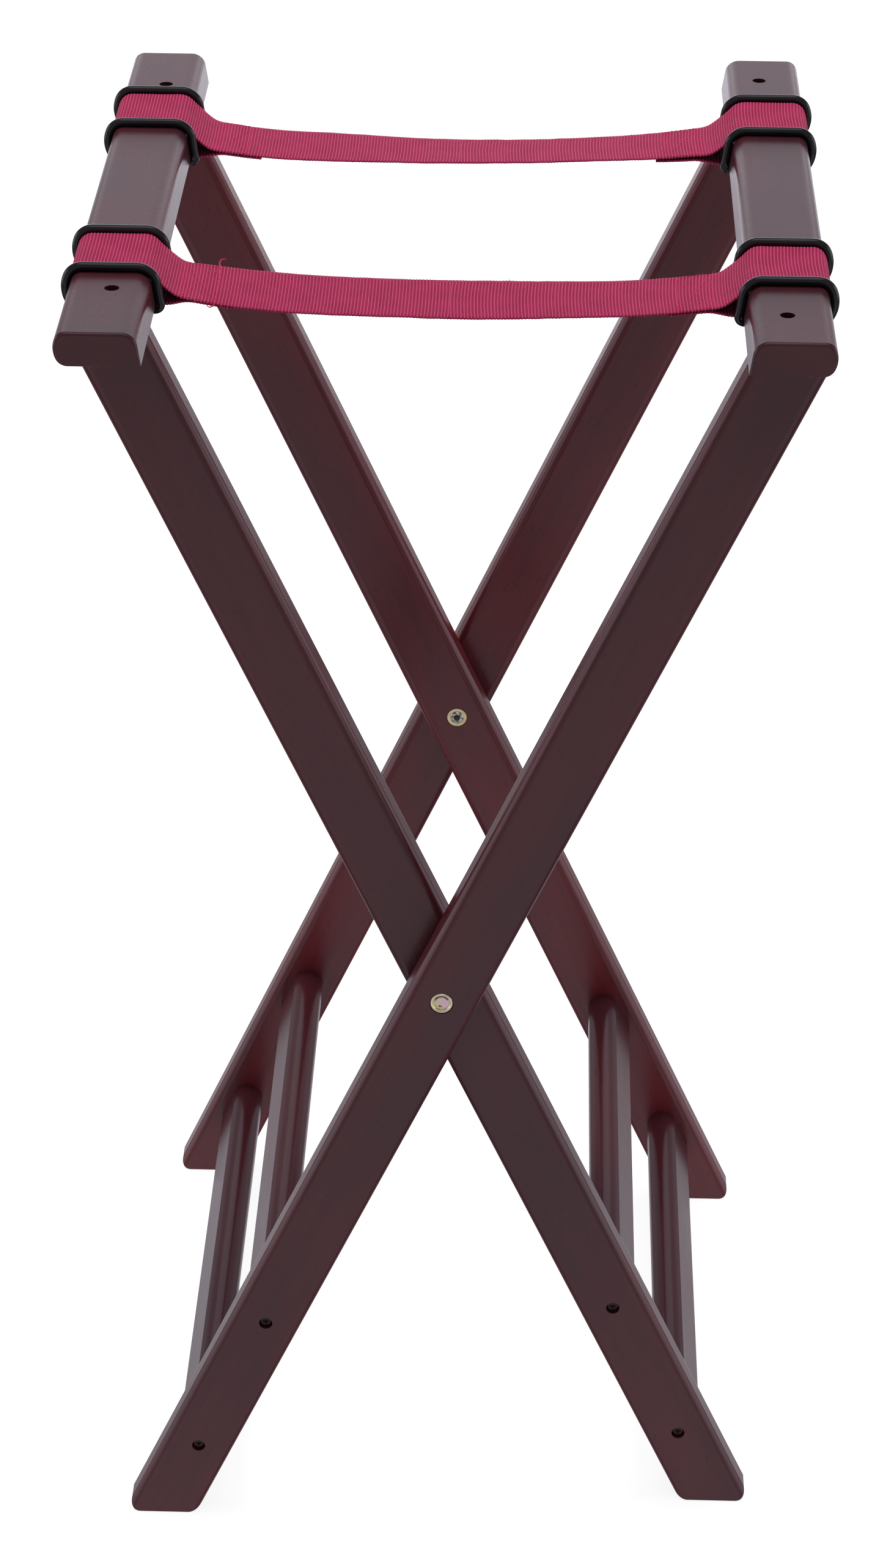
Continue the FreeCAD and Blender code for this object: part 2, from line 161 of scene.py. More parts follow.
# ------------------------------------------------------------------ lacquered wood
def wood(name, loc, rot, seed, half=None, edge=0.0, red=1.0, ends=None):
    """Dark mahogany lacquer. The grain runs along local Z after loc and rot."""
    M = Mat(name)
    v = M.coords(loc, rot)
    off = (seed * 3.1, seed * 1.7, seed * 5.3)
    patch = M.noise(M.scaled(v, (1, 1, 0.30), off), 15.0, 3.0, 0.55)
    figure = M.noise(M.scaled(v, (1, 1, 0.045), off), 170.0, 4.0, 0.6, 0.4)
    fine = M.noise(M.scaled(v, (1, 1, 0.022), off), 1500.0, 2.0, 0.6)
    pore = M.noise(M.scaled(v, (1, 1, 0.12), off), 1100.0, 1.0, 0.5)
    pore = M.step(pore, 0.67, 0.74)
    c = M.mix(M.step(patch, 0.36, 0.66), (0.043 * red, 0.0100, 0.0140), (0.066 * red, 0.0118, 0.0158))
    c = M.mix(M.step(figure, 0.42, 0.68, 0.0, 0.20), c, (0.028, 0.0075, 0.0095))
    c = M.mix(M.math("MULTIPLY", pore, 0.5), c, (0.010, 0.004, 0.005))
    c = M.mix(M.step(fine, 0.5, 0.75, 0.0, 0.10), c, (0.090, 0.026, 0.030))
    # painted glow: a redder band along the rounded edges stands in for light glowing through the lacquer there
    if half:
        p = M.xyz(v)
        u = M.math("ABSOLUTE", p[0])
        painted_edge_glow = M.step(u, half * 0.55, half * 0.90)
        wob = M.noise(M.scaled(v, (1, 1, 0.5), off), 40.0, 2.0)
        painted_edge_glow = M.math("MULTIPLY", painted_edge_glow, M.step(wob, 0.3, 0.7, 0.25, 1.0))
        c = M.mix(M.math("MULTIPLY", painted_edge_glow, edge), c, (0.095, 0.0135, 0.0180))
    if ends:
        # painted shade: a dark band along the end bevel, just behind the end; the end grain itself takes more of the
        # stain
        q = M.math("ABSOLUTE", M.xyz(v)[2])
        painted_bevel_shade = M.math("MULTIPLY", M.step(q, ends - 0.0026, ends - 0.0014), M.step(q, ends - 0.0010, ends - 0.0004, 1.0, 0.0))
        c = M.mix(M.math("MULTIPLY", painted_bevel_shade, 0.75), c, (0.014, 0.0050, 0.0060))
        c = M.mix(M.step(q, ends - 0.0008, ends - 0.0002), c, M.mix(M.step(patch, 0.36, 0.66), (0.052, 0.0085, 0.0120), (0.075, 0.0105, 0.0140)))
    # a few specks of dust caught in the lacquer
    vor = M.new("ShaderNodeTexVoronoi", feature="F1", distance="EUCLIDEAN")
    M.link(M.scaled(v, (1, 1, 1), off), vor.inputs["Vector"])
    vor.inputs["Scale"].default_value = 58.0
    cell = M.xyz(vor.outputs["Color"])
    size = M.step(cell[0], 0.72, 1.0, 0.0, 0.017)
    speck = M.math("LESS_THAN", vor.outputs["Distance"], size)
    pale = M.math("MULTIPLY", speck, M.step(cell[1], 0.3, 0.9, 0.1, 0.8))
    c = M.mix(pale, c, (0.20, 0.15, 0.15))
    rough = M.math("ADD", M.step(patch, 0.3, 0.7, 0.0, 0.04), M.step(fine, 0.3, 0.8, 0.22, 0.26))
    h = M.math("MULTIPLY_ADD", fine, 0.5, M.math("MULTIPLY", pore, -1.0))
    n1 = M.bump(h, 0.000012, 0.5)
    peel = M.noise(M.scaled(v, (1, 1, 0.8), off), 260.0, 2.0, 0.5)
    n2 = M.bump(peel, 0.00007, 0.5, n1)
    M.set(Base_Color=c, Roughness=rough, Normal=n2)
    M.b.inputs["IOR"].default_value = 1.5
    return M.m


RAIL_X, RAIL_W, RAIL_T, RAIL_TOP = 179.3, 45.6, 18.8, 787.0
UNDER = RAIL_TOP - RAIL_T
LEAN = math.atan2(168.8, 369.2)
pivot = (0.0, 0.0, 0.3692)


def give(names, material):
    for n in names if isinstance(names, (list, tuple)) else [names]:
        o = node[n]
        if not o.material_slots:
            o.data.materials.append(material)
        for s in o.material_slots:
            s.material = material


k = 0
for fname, side in (("outer", 1), ("inner", -1)):
    for ename in ("front", "rear"):
        k += 1
        give("%s_leg_%s" % (fname, ename), wood("lacquer_%s_leg_%s" % (fname, ename), pivot, (0, side * LEAN, 0), k,
                                                0.0201, 0.08 if ename == "front" else 0.25, 1.25 if ename == "front" else 1.75))
    k += 1
    give("%s_top_rail" % fname, wood("lacquer_%s_rail" % fname, (side * RAIL_X * MM, 0 if side > 0 else -0.002, 0.7777), (-math.pi / 2, 0, 0), k, 0.0228, 0.20, 0.78, 0.2238))
    for lname, z in (("lower", 0.0512), ("upper", 0.1433)):
        k += 1
        give("%s_stretcher_%s" % (fname, lname),
             wood("lacquer_%s_stretcher_%s" % (fname, lname), (0, 0, z), (-math.pi / 2, 0, 0), k))

# ------------------------------------------------------------------ rubber
R = Mat("black_rubber")
rv = R.coords()
blotch = R.noise(rv, 70.0, 3.0)
grit = R.noise(rv, 2600.0, 2.0)
R.set(Base_Color=R.mix(R.step(blotch, 0.35, 0.7), (0.0045, 0.0048, 0.0055), (0.0085, 0.0088, 0.0100)),
      Roughness=R.math("ADD", R.step(blotch, 0.3, 0.7, 0.0, 0.05), R.step(grit, 0.2, 0.8, 0.13, 0.19)),
      Normal=R.bump(grit, 0.00002, 0.6))
for f in ("outer", "inner"):
    give(["ring_%s_%d" % (f, i) for i in (1, 2, 3, 4)], R.m)
R.b.inputs["Specular IOR Level"].default_value = 0.45

# ------------------------------------------------------------------ screws
S = Mat("lacquered_screw")
sv = S.coords()
sn = S.noise(sv, 900.0, 3.0)
S.set(Base_Color=S.mix(S.step(sn, 0.4, 0.65), (0.022, 0.005, 0.005), (0.060, 0.018, 0.016)),
      Metallic=S.step(sn, 0.55, 0.75, 0.0, 0.35), Roughness=S.step(sn, 0.3, 0.7, 0.20, 0.42), Normal=S.bump(sn, 0.00025, 1.0))
S.b.inputs["Specular IOR Level"].default_value = 0.30
for f in ("outer", "inner"):
    give(["%s_rail_screws" % f, "%s_stretcher_screws" % f], S.m)

# ------------------------------------------------------------------ zinc


def zinc(name, seed, part):
    """Yellow-passivated zinc. part: head, tail or washer."""
    Z = Mat(name)
    v = Z.coords(pivot)
    off = (seed, seed * 2.0, seed * 3.0)
    a = Z.noise(Z.scaled(v, (1, 1, 1), off), 150.0, 2.0, 0.5, 0.6)
    b = Z.noise(Z.scaled(v, (1, 1, 1), (off[1], off[0], off[2])), 260.0, 2.0, 0.5, 0.4)
    scr = Z.noise(Z.scaled(v, (1, 0.2, 4.0), off), 1500.0, 2.0)
    p = Z.xyz(v)
    flat = Z.vmath("MULTIPLY", v, (1.0, 0.0, 1.0))
    r = Z.vmath("LENGTH", flat)
    if part == "head":
        # pink floor, yellow towards the lower left, a pale rim, and a painted shadow of the rim where the wall meets
        # the floor at the top of the dish
        side = Z.math("ADD", Z.math("ADD", p[0], p[2]), Z.math("MULTIPLY", Z.math("SUBTRACT", a, 0.5), 0.010))
        c = Z.mix(Z.step(side, -0.0042, 0.0002), (0.84, 0.70, 0.34), (0.86, 0.60, 0.66))
        c = Z.mix(Z.step(b, 0.48, 0.64, 0.0, 0.55), c, (0.78, 0.72, 0.46))
        c = Z.mix(Z.step(r, 0.0044, 0.0047), c, Z.mix(Z.step(b, 0.35, 0.65), (1.0, 0.94, 0.62), (0.96, 0.84, 0.60)))
        # painted shadow: dark olive on the dish floor under the top of the rim
        up = Z.math("DIVIDE", p[2], Z.math("ADD", r, 0.0001))
        top = Z.math("MULTIPLY", Z.step(r, 0.0031, 0.0037), Z.step(up, 0.25, 0.60))
        top = Z.math("MULTIPLY", top, Z.step(r, 0.0046, 0.0049, 1.0, 0.0))
        c = Z.mix(top, c, (0.105, 0.095, 0.045))
        for x, z, size, dark in ((-0.0011, -0.0024, 0.00120, 0.75), (-0.0001, -0.0027, 0.00080, 0.75), (-0.0036, 0.0010, 0.00040, 0.85),
                                 (-0.0032, 0.0019, 0.00035, 0.7), (-0.0034, -0.0021, 0.00038, 0.85), (-0.0028, -0.0028, 0.00030, 0.7)):
            d = Z.vmath("DISTANCE", flat, (x, 0.0, z))
            d = Z.math("ADD", d, Z.math("MULTIPLY", Z.math("SUBTRACT", b, 0.5), 0.0012))
            c = Z.mix(Z.step(d, size * 0.6, size, dark, 0.0), c, (0.10, 0.075, 0.075))
    elif part == "tail":
        # the rolled end split into lobes, steel showing through
        ang = Z.math("ARCTAN2", p[2], p[0])
        lobe = Z.math("COSINE", Z.math("MULTIPLY_ADD", ang, 6.0, Z.math("MULTIPLY", a, 1.6)))
        grain = Z.noise(Z.scaled(v, (1, 1, 1), off), 1100.0, 3.0, 0.65)
        c = Z.mix(Z.step(grain, 0.38, 0.62), (0.20, 0.22, 0.20), (0.80, 0.80, 0.74))
        notch = Z.math("MULTIPLY", Z.step(lobe, 0.45, 0.95, 0.0, 0.75), Z.step(r, 0.0027, 0.0034))
        c = Z.mix(notch, c, (0.060, 0.050, 0.040))
        c = Z.mix(Z.step(r, 0.0012, 0.0021, 0.9, 0.0), c, (0.85, 0.72, 0.50))
    else:
        c = Z.mix(Z.step(a, 0.38, 0.60), (0.98, 0.84, 0.47), (0.85, 0.70, 0.36))
        c = Z.mix(Z.step(b, 0.52, 0.66, 0.0, 0.6), c, (0.98, 0.90, 0.62))
    Z.set(Base_Color=c, Roughness=Z.step(scr, 0.3, 0.7, 0.26, 0.45), Normal=Z.bump(scr, 0.00004, 0.8))
    Z.b.inputs["Metallic"].default_value = 0.9
    return Z.m


for e, s in (("front", 1.3), ("rear", 4.1)):
    give("pivot_rivet_%s" % e, zinc("zinc_rivet_%s" % e, s, "head" if e == "front" else "tail"))
    give("pivot_washer_%s" % e, zinc("zinc_washer_%s" % e, s + 0.7, "washer"))
N = Mat("nylon")
nv = N.noise(N.coords(), 300.0, 3.0)
N.set(Base_Color=N.mix(nv, (0.55, 0.52, 0.46), (0.66, 0.64, 0.58)), Roughness=N.step(nv, 0.3, 0.7, 0.4, 0.55), Normal=N.bump(nv, 0.00005, 0.5))
give(["pivot_spacer_front", "pivot_spacer_rear"], N.m)

# ------------------------------------------------------------------ webbing
PITCH_MM = 1.81
HALF_W = 24.95
OFF = 0.15 + 0.65
XI, XO, MID = RAIL_X - RAIL_W / 2, RAIL_X + RAIL_W / 2, RAIL_TOP - RAIL_T / 2
# section of the right-hand rail: corners and their radii
SECTION = [(XI, UNDER, 0.5), (XO - 2.9, UNDER, 6.2), (XO + 1.12, MID, 14.0), (XO - 2.6, RAIL_TOP, 6.2), (XI + 2.8, RAIL_TOP, 8.2)]

TOP = [(0.0, 763.95), (16.0, 764.0), (33.0, 764.2), (50.0, 764.55), (68.0, 765.15), (85.0, 765.95), (100.0, 766.85),
       (113.6, 768.0), (125.0, 769.25), (132.0, 770.1), (137.0, 770.75), (140.8, 771.3), (143.5, 771.9), (146.2, 773.0),
       (148.5, 774.52), (151.0, 776.55), (153.5, 778.75), (157.0, 782.05)]


def top_z(x):
    return float(np.interp(x, [p[0] for p in TOP], [p[1] for p in TOP]))


def around(i, a0, a1, n):
    """Points on corner i of the rail's section grown by OFF, between two angles in degrees from +X."""
    x, z, r = SECTION[i]
    p = Vector((x, z))
    a = (Vector(SECTION[i - 1][:2]) - p).normalized()
    b = (Vector(SECTION[(i + 1) % 5][:2]) - p).normalized()
    half = math.acos(max(-1.0, min(1.0, a.dot(b)))) / 2
    c = p + (a + b).normalized() * (r / math.sin(half))
    return [(c.x + (r + OFF) * math.cos(math.radians(t)), c.y + (r + OFF) * math.sin(math.radians(t)))
            for t in np.linspace(a0, a1, n)]


def path_points(x_tail):
    """Middle of the webbing in the XZ plane, from the sewn-under end, round the rail, to mid-span."""
    pts = [(x, top_z(x) - 1.32) for x in np.linspace(x_tail, 135.0, 7)]
    pts += [(138.0, 769.45), (141.0, 769.3), (144.5, 768.7), (148.5, 767.85), (152.5, 767.45)]
    pts += [(x, UNDER - OFF) for x in (157.0, 163.0, 170.0, 178.0, 186.0, 192.0)]
    pts += around(1, -84, -28, 5) + around(2, -17, 15, 4) + around(3, 28, 84, 5)
    pts += [(x, RAIL_TOP + OFF) for x in (192.0, 185.0, 178.0, 171.5)]
    pts += around(4, 94, 136, 5)
    pts += TOP[::-1]
    return np.array(pts, float)


def resample(pts, n_per_mm):
    """Centripetal Catmull-Rom through pts, then evenly spaced by length."""
    p = np.vstack([2 * pts[0] - pts[1], pts, 2 * pts[-1] - pts[-2]])
    out = []
    for i in range(1, len(p) - 2):
        p0, p1, p2, p3 = p[i - 1], p[i], p[i + 1], p[i + 2]
        t0 = 0.0
        t1 = t0 + math.sqrt(np.linalg.norm(p1 - p0))
        t2 = t1 + math.sqrt(np.linalg.norm(p2 - p1))
        t3 = t2 + math.sqrt(np.linalg.norm(p3 - p2))
        for t in np.linspace(t1, t2, 24, endpoint=False):
            a1 = (t1 - t) / (t1 - t0) * p0 + (t - t0) / (t1 - t0) * p1
            a2 = (t2 - t) / (t2 - t1) * p1 + (t - t1) / (t2 - t1) * p2
            a3 = (t3 - t) / (t3 - t2) * p2 + (t - t2) / (t3 - t2) * p3
            b1 = (t2 - t) / (t2 - t0) * a1 + (t - t0) / (t2 - t0) * a2
            b2 = (t3 - t) / (t3 - t1) * a2 + (t - t1) / (t3 - t1) * a3
            out.append((t2 - t) / (t2 - t1) * b1 + (t - t1) / (t2 - t1) * b2)
    out.append(p[-2])
    out = np.array(out)
    d = np.concatenate([[0], np.cumsum(np.linalg.norm(np.diff(out, axis=0), axis=1))])
    L = d[-1]
    n = max(2, int(round(L * n_per_mm)))
    s = np.linspace(0, L, n + 1)
    return np.column_stack([np.interp(s, d, out[:, 0]), np.interp(s, d, out[:, 1])]), s, L


def smooth(x, a, b):
    t = np.clip((x - a) / (b - a), 0, 1)
    return t * t * (3 - 2 * t)


# middle of each strap in Y at mid-span, and where it crosses the inner and the outer frame's rail
STRAP_Y = {"near": (-113.7, -111.7, -115.75), "far": (117.1, 116.35, 117.8)}
TAIL = {("near", "inner"): 115.7, ("near", "outer"): 116.9, ("far", "inner"): 115.7, ("far", "outer"): 114.2}
# how each strap really lies: x, height added to the whole width, half of what the far edge stands above the near one
LIE = {
    "near": [(-152, 0, 0), (-145, -0.1, 0.25), (-124, -0.35, 0.9), (-103, -0.45, 1.0), (-83, -0.6, 1.0), (-64, -0.5, 0.85),
             (-44, -0.25, 0.7), (-24, -0.15, 0.65), (-5, -0.25, 0.8), (15, -0.2, 0.85), (34, 0.0, 0.7), (54, 0.15, 0.35),
             (73, 0.1, 0.1), (93, -0.1, 0.05), (113, -0.05, 0.1), (133, 0.1, 0.0), (152, 0, 0)],
    "far": [(-152, 0, 0), (-145, -0.1, -0.1), (-120, -0.4, -0.35), (-98, -0.1, -0.4), (-77, 0.4, -0.5), (-55, 0.6, -0.9),
            (-34, 0.5, -1.45), (-12, 0.35, -1.8), (9, 0.4, -2.0), (31, 0.65, -2.05), (53, 0.85, -2.05), (74, 1.25, -1.95),
            (95, 1.3, -1.7), (117, 1.05, -1.2), (136, 1.15, -0.8), (144, 0.9, -0.3), (154, 0, 0)]}


def lie(name, x):
    """(lift, lean) of a strap at the signed positions x, eased between the listed ones."""
    t = np.array(LIE[name], float)
    fine_x = np.linspace(t[0, 0], t[-1, 0], 400)
    k = np.hanning(31)
    k /= k.sum()
    res = []
    for c in (1, 2):
        f = np.interp(fine_x, t[:, 0], t[:, c])
        f = np.convolve(np.pad(f, 15, mode="edge"), k, "valid")
        res.append(np.interp(x, fine_x, f, left=0.0, right=0.0))
    return res


def strap_y(name, side, x):
    """Middle of the strap in Y at |x|."""
    mid, at_in, at_out = STRAP_Y[name]
    return mid + ((at_out if side > 0 else at_in) - mid) * np.minimum(np.abs(x) / 148.7, 1.0)


def mesh_object(name, verts, faces, material, smooth_faces=True):
    me = bpy.data.meshes.new(name)
    me.from_pydata([tuple(v) for v in verts], [], [tuple(f) for f in faces])
    me.materials.append(material)
    if smooth_faces:
        me.polygons.foreach_set("use_smooth", [True] * len(me.polygons))
    me.update()
    o = bpy.data.objects.new(name, me)
    scene.collection.objects.link(o)
    return o


def webbing_material():
    W = Mat("strap_webbing_weave")
    at = W.new("ShaderNodeAttribute", attribute_type="GEOMETRY", attribute_name="cloth")
    p = W.xyz(at.outputs["Vector"])          # x: mm along, y: mm across, z: 0 outside .. 1 inside
    s, w = p[0], p[1]
    wob = W.noise(W.scaled(at.outputs["Vector"], (0.6, 1, 0)), 0.5, 2.0)
    ph = W.math("ADD", W.math("DIVIDE", s, PITCH_MM), W.math("MULTIPLY", W.math("SUBTRACT", wob, 0.5), 0.34))
    fr = W.math("FRACT", ph)
    tri = W.math("ABSOLUTE", W.math("SUBTRACT", fr, 0.5))      # 0 on the crest, 0.5 in the groove
    crest = W.step(tri, 0.02, 0.26, 1.0, 0.0)
    groove = W.step(tri, 0.26, 0.5)
    # the weft shows as a row of beads along each crest
    row = W.math("FLOOR", ph)
    stagger = W.math("MULTIPLY", W.math("MODULO", row, 2.0), math.pi)
    thread = W.math("SINE", W.math("ADD", W.math("MULTIPLY", w, 2 * math.pi / 0.95), stagger))
    thread = W.math("MULTIPLY_ADD", thread, 0.5, 0.5)
    fuzz = W.noise(W.scaled(at.outputs["Vector"], (1.4, 2.6, 0)), 1.9, 3.0, 0.7)
    slow = W.noise(W.scaled(at.outputs["Vector"], (1.0, 1.0, 0)), 0.06, 2.0)
    body = W.mix(W.step(slow, 0.3, 0.7), (0.235, 0.0125, 0.050), (0.285, 0.0160, 0.062))
    # painted shade: the grooves between the ribs are darkened
    c = W.mix(W.math("MULTIPLY", groove, 0.45), body, (0.185, 0.0090, 0.038))
    # painted highlight: the crest of each rib is lighter, broken into beads by the weft
    light = W.math("MULTIPLY", crest, W.step(fuzz, 0.32, 0.66, 0.25, 1.10))
    light = W.math("MULTIPLY", light, W.math("MULTIPLY_ADD", thread, 0.60, 0.50), clamp=True)
    c = W.mix(light, c, (0.580, 0.088, 0.188))
    c = W.mix(W.step(fuzz, 0.56, 0.8, 0.0, 0.35), c, (0.16, 0.0085, 0.034))
    h = W.math("MULTIPLY_ADD", W.math("MULTIPLY", thread, crest), 0.8, W.math("MULTIPLY", fuzz, 0.9))
    W.set(Base_Color=c, Roughness=W.step(fuzz, 0.3, 0.7, 0.62, 0.80), Normal=W.bump(h, 0.00010, 0.8))
    W.b.inputs["Sheen Weight"].default_value = 0.05
    W.b.inputs["Sheen Roughness"].default_value = 0.5
    W.b.inputs["Sheen Tint"].default_value = (1.0, 0.55, 0.68, 1.0)
    W.b.inputs["IOR"].default_value = 1.40
    W.b.inputs["Specular IOR Level"].default_value = 0.15
    return W.m


WEB = webbing_material()
COLS = 30
ROWS_PER_PITCH = 8


def rib_height(ph):
    """0 in the groove, 1 on the crest, which is the narrower of the two."""
    return (0.5 + 0.5 * np.cos(2 * np.pi * (ph - 0.5))) ** 1.4


def half_strap(name, fname):
    side = 1 if fname == "outer" else -1
    pts, s, L = resample(path_points(TAIL[(name, fname)]), ROWS_PER_PITCH / PITCH_MM)
    n = len(pts)
    d = np.gradient(pts, axis=0)
    d /= np.linalg.norm(d, axis=1)[:, None]
    # the side away from the rail is to the right of travel round it
    nx, nz = d[:, 1], -d[:, 0]
    from_mid = L - s                                      # mm from mid-span
    w = np.linspace(-1, 1, COLS)
    loop = [(w[j], 1.0) for j in range(COLS)]             # (across, which side)
    loop += [(1.0, 0.45), (1.0, -0.45)]
    loop += [(w[j], -1.0) for j in range(COLS - 1, -1, -1)]
    loop += [(-1.0, -0.45), (-1.0, 0.45)]
    K = len(loop)
    verts = np.zeros((n, K, 3))
    attr = np.zeros((n, K, 3))
    seed = {"near": 11, "far": 23}[name] + (3 if side > 0 else 0)
    g = np.random.default_rng(seed)
    knots = np.linspace(0, L, 60)
    ease = smooth(from_mid, 0.0, 12.0)                    # no waviness where the halves meet
    wave = np.interp(s, knots, g.normal(0, 0.13, 60)) * ease
    wave2 = np.interp(s, knots, g.normal(0, 0.13, 60)) * ease
    puff = np.interp(s, knots, g.normal(0, 0.06, 60)) * ease
    for q, (wj, face) in enumerate(loop):
        bow = 0.55 * (1 - wj * wj) + 0.12 * math.sin(3.0 * wj + seed)
        ph = (from_mid + bow) / PITCH_MM
        rib = rib_height(ph)
        edge = 1.0 - 0.28 * smooth(abs(wj), 0.94, 1.0)
        t = (0.47 + 0.24 * rib) * edge
        half = HALF_W + 0.20 * rib + (wave if wj > 0 else wave2)
        if abs(face) < 1:
            half = half + 0.14
        y = strap_y(name, side, pts[:, 0]) + wj * half
        x = pts[:, 0] + nx * (t * face + puff * math.cos(2.2 * wj))
        z = pts[:, 1] + nz * (t * face + puff * math.cos(2.2 * wj))
        lift, lean = lie(name, side * x)
        # only the part off the rail, and not its underside, is free to lean
        free = smooth(x, 100.0, 154.0)
        free = 1 - free * (pts[:, 1] < 769.9) * (s < 60)
        z = z + (lift + lean * wj) * free
        verts[:, q] = np.column_stack([side * x, y, z])
        attr[:, q] = np.column_stack([from_mid + bow, np.full(n, wj * HALF_W), np.full(n, 0.0 if face > 0 else 1.0)])
    # close the mid-span end on the plane between the halves
    verts[-1, :, 0] = 0.0
    faces = []
    for i in range(n - 1):
        for q in range(K):
            a, b = i * K + q, i * K + (q + 1) % K
            c, e = b + K, a + K
            faces.append((a, b, c, e) if side > 0 else (a, e, c, b))
    first = [q for q in range(K)]
    last = [(n - 1) * K + q for q in range(K)]
    faces.append(tuple(first[::-1]) if side > 0 else tuple(first))
    faces.append(tuple(last) if side > 0 else tuple(last[::-1]))
    o = mesh_object("webbing_%s_%s" % (name, fname), verts.reshape(-1, 3) * MM, faces, WEB)
    a = o.data.attributes.new("cloth", "FLOAT_VECTOR", "POINT")
    a.data.foreach_set("vector", attr.reshape(-1, 3).astype(np.float32).ravel())
    hang(o, name)
    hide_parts("strap_%s_loop_%s" % (name, fname), "strap_%s_span_%s" % (name, fname))
    print("strap", name, fname, "half length mm", round(L, 1), "rows", n)
    return o


def hang(o, name):
    """Bake the object's transform into its mesh."""
    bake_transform(o)


for sname in ("near", "far"):
    for fname in ("outer", "inner"):
        half_strap(sname, fname)

# ------------------------------------------------------------------ stitching
T = Mat("polyester_thread")
tv = T.coords()
tn = T.noise(tv, 2600.0, 2.0)
T.set(Base_Color=T.mix(tn, (0.44, 0.009, 0.060), (0.66, 0.024, 0.115)), Roughness=T.step(tn, 0.3, 0.7, 0.45, 0.6),
      Normal=T.bump(tn, 0.00008, 0.8))


class Threads:
    """Stitches on the top of a half span, each a short bead of thread that dips in at both ends."""

    def __init__(self, name, fname):
        self.name, self.fname = name, fname
        self.side = 1 if fname == "outer" else -1
        self.v, self.f = [], []

    def surface(self, x, w):
        """Point on top of the webbing at |x| and w mm from its middle, both in mm."""
        lift, lean = lie(self.name, np.array([self.side * x]))
        z = float(np.interp(x, [p[0] for p in TOP], [p[1] for p in TOP])) + float(lift[0] + lean[0] * w / HALF_W)
        return np.array([self.side * x, float(strap_y(self.name, self.side, x)) + w, z + 0.60])

    def tube(self, pts, radii, sides=7):
        pts = np.array(pts, float)
        d = np.gradient(pts, axis=0)
        d /= np.linalg.norm(d, axis=1)[:, None]
        base = len(self.v)
        up0 = np.array([0.0, 0.0, 1.0])
        for p, t, r in zip(pts, d, radii):
            u = np.cross(t, up0)
            if np.linalg.norm(u) < 1e-3:
                u = np.cross(t, np.array([1.0, 0, 0]))
            u /= np.linalg.norm(u)
            q = np.cross(u, t)
            for k in range(sides):
                a = 2 * math.pi * k / sides
                self.v.append(p + r * (math.cos(a) * u + math.sin(a) * q))
        m = len(pts)
        for i in range(m - 1):
            for k in range(sides):
                a, b = base + i * sides + k, base + i * sides + (k + 1) % sides
                self.f.append((a, b, b + sides, a + sides))
        self.f.append(tuple(base + k for k in range(sides))[::-1])
        self.f.append(tuple(base + (m - 1) * sides + k for k in range(sides)))

    def row(self, a, b, pitch, length, r, g, wobble=0.10, rise=0.10):
        """A row of stitches from a to b, each (|x|, w)."""
        a, b = np.array(a, float), np.array(b, float)
        L = np.linalg.norm(b - a)
        n = max(1, int(L / pitch))
        t = (b - a) / L
        side = np.array([-t[1], t[0]])
        for i in range(n):
            c = a + t * (i + 0.5) * L / n + side * g.normal(0, wobble)
            ang = g.normal(0, 0.05)
            tt = t * math.cos(ang) + side * math.sin(ang)
            pts, rad = [], []
            for u in np.linspace(-1, 1, 7):
                q = c + tt * u * length / 2
                p = self.surface(q[0], q[1])
                p[2] += rise - 0.34 * u * u
                pts.append(p)
                rad.append(r * math.sqrt(max(0.10, 1 - 0.85 * u ** 4)))
            self.tube(pts, rad)

    def strand(self, pts, r):
        """A loose end: a tapering tube through (|x|, w, height above the webbing)."""
        q = []
        for x, w, h in pts:
            p = self.surface(x, w)
            p[2] += h
            q.append(p)
        q = np.array(q)
        t = np.linspace(0, 1, len(q))
        tt = np.linspace(0, 1, 4 * len(q))
        q = np.column_stack([np.interp(tt, t, q[:, i]) for i in range(3)])
        k = np.array([0.25, 0.5, 0.25])
        for _ in range(4):
            q[1:-1] = k[0] * q[:-2] + k[1] * q[1:-1] + k[2] * q[2:]
        self.tube(q, r * (1 - 0.6 * tt ** 3))

    def done(self):
        o = mesh_object("stitching_%s_%s" % (self.name, self.fname), np.array(self.v) * MM, self.f, T.m)
        hang(o, self.name)
        return o


